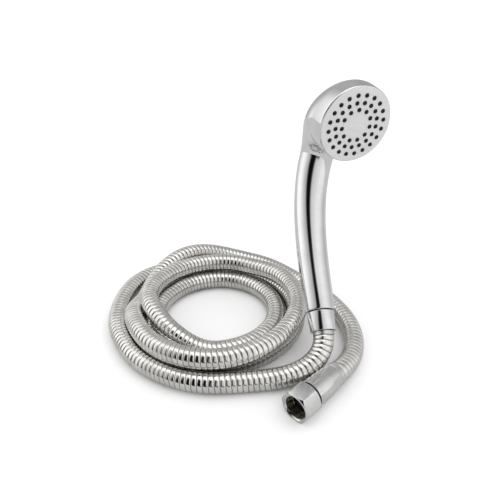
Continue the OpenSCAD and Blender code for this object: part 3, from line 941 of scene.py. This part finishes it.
def makeShell():
    keys = shellSections()
    middle = np.stack([
        (keys[:, 0] + keys[:, 2]) / 2, (keys[:, 1] + keys[:, 3]) / 2, keys[:, 4],
    ], 1)
    step = 0
    for line in (middle, keys[:, 2:4]):
        step = step + np.linalg.norm(np.diff(line, axis=0), axis=1) * 0.5
    x = np.concatenate([[0], np.cumsum(step)])
    at = np.linspace(0, x[-1], shell["rows"])
    rows = naturalSpline(x, keys, at)
    around = shell["around"]
    angles = np.arange(around) * 2 * math.pi / around
    points = []

    def addRow(frontY, frontZ, backY, backZ, across):
        mid = np.array(((frontY + backY) / 2, (frontZ + backZ) / 2))
        half = np.array(((backY - frontY) / 2, (backZ - frontZ) / 2))
        yz = mid + np.cos(angles)[:, None] * half
        points.append(np.stack([np.sin(angles) * across, yz[:, 0], yz[:, 1]], 1))

    def rimRow(r, s):
        # a ring about the inlet axis, s millimetres out of the handle's end
        tip, way = onAxis(1.0), alongAxis(1.0)
        front = np.array((way[1], -way[0]))
        m = tip + way * s
        f, b = m + front * r, m - front * r
        addRow(*f, *b, r)

    end, bore = shell["handleEnd"], shell["bore"]
    # bore up inside the handle's end, then its rounded rim
    rim = [
        (bore, -9.0), (bore, -0.35), (bore + 0.2, -0.08), (bore + 0.45, 0.0),
        (end - 0.75, 0.0), (end - 0.42, -0.06), (end - 0.18, -0.22), (end - 0.04, -0.5),
    ]
    for r, s in rim:
        rimRow(r, s)
    for row in rows[1:]:
        addRow(*row)
    lip, inner = shell["lipRadius"], shell["lipRadius"] - shell["lipWidth"]
    mouth = [
        (1.5, lip - 0.06), (0.85, lip - 0.22), (0.35, lip - 0.5), (0.08, lip - 0.85),
        (0.0, lip - 1.15), (0.05, inner + 0.12), (0.25, inner), (4.0, inner), (12.4, inner),
    ]
    for y, r in mouth:
        addRow(y, -r, y, r, r)
    faces = gridFaces(len(points), around, flip=True)
    return newPiece("shellSkin", shrink(np.concatenate(points), onHandset), faces, sharp=50)


shellSkin = makeShell()
dress(shellSkin, "handset", "shell_chrome", shellChrome, replaces=["handset_shell"])
print("shell lofted:", len(shellSkin.data.polygons), "faces")


sprayFace = {
    "ringRadius": (13.0, 18.8, 24.9),
    "ringCount": (11, 17, 20),
    "ringStart": (24.3, 11.0, 11.7),
    "nozzle": 3.4,
    "proud": 0.8,
    "root": 1.6,  # where the nozzles start, behind the lip's plane
    "nozzleHeight": 0.7,
    "thickness": 2.2,
    "plateRadius": 31.3,
    "matRadius": 30.7,
    "matHole": 10.4,
    "matDepth": (1.4, 3.2),
}


def circleSpline(line, x, y, r, sides):
    spline = line.splines.new("POLY")
    spline.points.add(sides - 1)
    a = np.arange(sides) * 2 * math.pi / sides
    co = np.stack([x + r * np.cos(a), y + r * np.sin(a), np.zeros(sides), np.ones(sides)], 1)
    spline.points.foreach_set("co", co.ravel())
    spline.use_cyclic_u = True


def nozzlePlaces():
    out = []
    rings = zip(sprayFace["ringRadius"], sprayFace["ringCount"], sprayFace["ringStart"])
    for radius, count, start in rings:
        for k in range(count):
            a = math.radians(start + 360 * k / count)
            out.append((radius * math.cos(a), radius * math.sin(a)))
    return out


def makeFacePlate():
    line = bpy.data.curves.new("facePlateOutline", "CURVE")
    line.dimensions = "2D"
    line.fill_mode = "BOTH"
    bevel = 0.22
    half = sprayFace["thickness"] / 2
    circleSpline(line, 0, 0, sprayFace["plateRadius"] - bevel, 160)
    for x, y in nozzlePlaces():
        circleSpline(line, x, y, sprayFace["nozzle"] / 2 + 0.12 + bevel, 20)
    line.extrude = half - bevel
    line.bevel_depth = bevel
    line.bevel_resolution = 2
    source = bpy.data.objects.new("facePlateOutline", line)
    bpy.context.collection.objects.link(source)
    bpy.context.view_layer.update()
    mesh = bpy.data.meshes.new_from_object(source.evaluated_get(bpy.context.evaluated_depsgraph_get()))
    bpy.data.objects.remove(source, do_unlink=True)
    place = onFace @ move(0, 0, -sprayFace["proud"] + half)
    mesh.transform(Matrix.Diagonal((mm, mm, mm, 1)) @ place)
    mesh.name = "facePlateBody"
    weld = bmesh.new()
    weld.from_mesh(mesh)
    bmesh.ops.remove_doubles(weld, verts=weld.verts, dist=2e-6)
    weld.to_mesh(mesh)
    weld.free()
    piece = bpy.data.objects.new("facePlateBody", mesh)
    bpy.context.collection.objects.link(piece)
    mesh.shade_smooth()
    mesh.set_sharp_from_angle(angle=math.radians(30))
    return piece


def nozzleTree():
    tree = bpy.data.node_groups.new("setNozzles", "GeometryNodeTree")
    addInputs(tree, [
        ("Places", "NodeSocketGeometry", None),
        ("Nozzle", "NodeSocketObject", None),
        ("Material", "NodeSocketMaterial", None),
    ])
    tree.interface.new_socket("Nozzles", in_out="OUTPUT", socket_type="NodeSocketGeometry")
    given, result = node(tree, "NodeGroupInput"), node(tree, "NodeGroupOutput")
    link = tree.links.new
    info = node(tree, "GeometryNodeObjectInfo")
    link(given.outputs["Nozzle"], info.inputs["Object"])
    spread = node(tree, "GeometryNodeInstanceOnPoints")
    link(given.outputs["Places"], spread.inputs["Points"])
    link(info.outputs["Geometry"], spread.inputs["Instance"])
    real = node(tree, "GeometryNodeRealizeInstances")
    link(spread.outputs[0], real.inputs[0])
    coat = node(tree, "GeometryNodeSetMaterial")
    link(real.outputs[0], coat.inputs["Geometry"])
    link(given.outputs["Material"], coat.inputs["Material"])
    link(coat.outputs[0], result.inputs[0])
    return tree


def makeNozzles():
    r = sprayFace["nozzle"] / 2
    proud, root = sprayFace["proud"], sprayFace["root"]
    top = -proud - sprayFace["nozzleHeight"]
    loop = [(root, r), (-proud + 0.1, r), (-proud - 0.25, r - 0.06), (top + 0.14, r - 0.2),
            (top, r - 0.4), (top, 0.62), (top + 0.12, 0.5), (root, 0.42)]
    inner, outer = sprayFace["matHole"], sprayFace["matRadius"]
    near, far = sprayFace["matDepth"]
    ring = [(near, outer, 0.3), (far, outer, 0.3), (far, inner, 0.3), (near, inner, 0.3)]
    mat = lathe("nozzleMatBody", filleted(ring, 2), onFace, 96)
    one = lathe("oneNozzle", loop[::-1], Matrix.Identity(4), 18, sharp=60)
    spots = bpy.data.meshes.new("nozzlePlaces")
    spots.from_pydata([(x * mm, y * mm, 0) for x, y in nozzlePlaces()], [], [])
    source = bpy.data.objects.new("nozzlePlaces", spots)
    bpy.context.collection.objects.link(source)
    values = {"Nozzle": one, "Material": nozzleRubber}
    piece = bakedTree("nozzles", source, nozzleTree(), values, [nozzleRubber])
    bpy.data.objects.remove(one, do_unlink=True)
    place = onFace.copy()
    place.translation = place.translation * mm
    piece.data.transform(place)
    mat.data.materials.append(nozzleRubber)
    with bpy.context.temp_override(active_object=piece, selected_editable_objects=[piece, mat]):
        bpy.ops.object.join()
    return piece


facePlateBody = makeFacePlate()
nozzles = makeNozzles()
dress(facePlateBody, "handset", "face_grey", faceGrey, replaces=["face_plate"])
dress(nozzles, "handset", "nozzle_rubber", nozzleRubber, replaces=["nozzle_mat"])
print("spray face made")


keptNodes = {
    "clamp_plate": innerPlastic,
    "chamber_seal": sealRubber,
    "water_chamber": innerPlastic,
    "plate_screws": screwSteel,
    "water_tube": tubePlastic,
    "tube_seal": sealRubber,
    "flow_limiter": limiterPlastic,
    "inlet_washer": sealRubber,
    "handset_insert": bareBrass,
    "supply_insert": bareBrass,
    "supply_washer": sealRubber,
}
for name, material in keptNodes.items():
    kept = bpy.data.objects[name]
    kept.data.materials.clear()
    kept.data.materials.append(material)


studio = {
    "floorZ": -12.0,
    "floorHalf": 30.0,
    "floorSeen": 0.94,
    "floorMirrored": 0.52,
    "worldLight": 1.0,
    "sunLight": 0.65,
    "sunFrom": (35, 20),  # compass angle from the front, to the right, and tilt from overhead
    "sunSpread": 70,
    "tentMiddle": (0.03, 0.1, 0.09),
    "tentRadius": 1.6,
    "tentColumns": 180,
    "tentRows": 34,
    "tentHeights": (-24, 88),  # where its wall starts and ends, in degrees
    # brightness of the wall by compass angle from the front, with a dark flag from -41 to -17
    "tentTones": [
        (-180, 0.47), (-157, 0.45), (-142, 0.6), (-128, 0.9), (-112, 1.12), (-97, 1.12), (-82, 0.88),
        (-68, 0.6), (-54, 0.45), (-47, 0.1), (-41, 0.005), (-17, 0.005), (-11, 0.12), (-4, 0.55),
        (8, 0.7), (23, 0.77), (38, 0.85), (53, 0.95), (75, 0.95), (90, 0.78), (105, 0.58), (120, 0.46),
        (140, 0.42), (158, 0.38), (172, 0.46), (180, 0.47),
    ],
    "flagTop": 60,  # height in degrees above which the wall eases into the top
    "topTone": 1.35,
    "kneeTone": 0.12,  # the low dark gap in front, under the tent's wall
    "kneeHeight": 11,
}


def paperFinish():
    # white to the eye, and greyer where it is mirrored
    material, tree, shader = startFinish("floorPaper")[:3]
    shader.inputs["Roughness"].default_value = 0.9
    shader.inputs["Specular IOR Level"].default_value = 0.0
    rays = node(tree, "ShaderNodeLightPath")
    mix = node(tree, "ShaderNodeMix", data_type="RGBA")
    mix.inputs[mixFirst].default_value = (*[studio["floorSeen"]] * 3, 1)
    mix.inputs[mixSecond].default_value = (*[studio["floorMirrored"]] * 3, 1)
    tree.links.new(rays.outputs["Is Glossy Ray"], mix.inputs["Factor"])
    tree.links.new(mix.outputs[mixResult], shader.inputs["Base Color"])
    return material


def makeFloor():
    z, half = studio["floorZ"] * mm, studio["floorHalf"]
    corners = [(-half, -half, z), (half, -half, z), (half, half, z), (-half, half, z)]
    floor = newPiece("floor", corners, [(0, 1, 2, 3)], smooth=False)
    floor.data.materials.append(paperFinish())


def tentTone(compass, height):
    wall = float(np.interp(compass, *zip(*studio["tentTones"])))
    top = studio["topTone"]
    knee = min(max((studio["kneeHeight"] - height) / 6, 0), 1) * min(max((16 - compass) / 8, 0), 1)
    knee *= min(max((compass + 60) / 10, 0), 1)
    wall = wall * (1 - knee) + min(wall, studio["kneeTone"]) * knee
    rise = min(max((height - studio["flagTop"]) / 14, 0), 1)
    return wall * (1 - rise) + top * rise


def makeTent():
    # a light tent all round, seen only in reflections
    columns, rows = studio["tentColumns"], studio["tentRows"]
    points, tones = [], []
    mx, my, mz = studio["tentMiddle"]
    low, high = studio["tentHeights"]
    for i in range(rows + 1):
        height = low + (high - low) * i / rows
        for k in range(columns):
            compass = -180 + 360 * k / columns
            a, e, r = math.radians(compass), math.radians(height), studio["tentRadius"]
            points.append((
                mx + r * math.cos(e) * math.sin(a),
                my - r * math.cos(e) * math.cos(a),
                mz + r * math.sin(e),
            ))
            tones.append(tentTone(compass, height))
    faces = gridFaces(rows + 1, columns)
    top = rows * columns
    faces.append(tuple(top + k for k in range(columns)))
    tent = newPiece("lightTent", points, faces)
    tone = tent.data.attributes.new("tone", "FLOAT", "POINT")
    tone.data.foreach_set("value", tones)
    material = bpy.data.materials.new("tentCloth")
    material.use_nodes = True
    tree = material.node_tree
    tree.nodes.remove(tree.nodes["Principled BSDF"])
    glow = node(tree, "ShaderNodeEmission")
    held = node(tree, "ShaderNodeAttribute", attribute_name="tone")
    tree.links.new(held.outputs["Fac"], glow.inputs["Strength"])
    tree.links.new(glow.outputs[0], tree.nodes["Material Output"].inputs["Surface"])
    tent.data.materials.append(material)
    tent.visible_camera = False
    tent.visible_diffuse = False
    tent.visible_shadow = False
    tent.visible_transmission = False


def makeSun():
    data = bpy.data.lights.new("softSun", "SUN")
    data.energy = studio["sunLight"]
    data.angle = math.radians(studio["sunSpread"])
    data.specular_factor = 0.0
    sun = bpy.data.objects.new("softSun", data)
    side, up = studio["sunFrom"]
    sun.rotation_euler = (math.radians(up), 0, math.radians(side))
    bpy.context.collection.objects.link(sun)


def makeWorld():
    world = bpy.data.worlds.new("studioAir")
    world.use_nodes = True
    air = world.node_tree.nodes["Background"]
    air.inputs["Color"].default_value = (1, 1, 1, 1)
    air.inputs["Strength"].default_value = studio["worldLight"]
    bpy.context.scene.world = world


makeFloor()
makeTent()
makeSun()
makeWorld()
bpy.context.scene.view_settings.view_transform = "Standard"
print("studio lit")
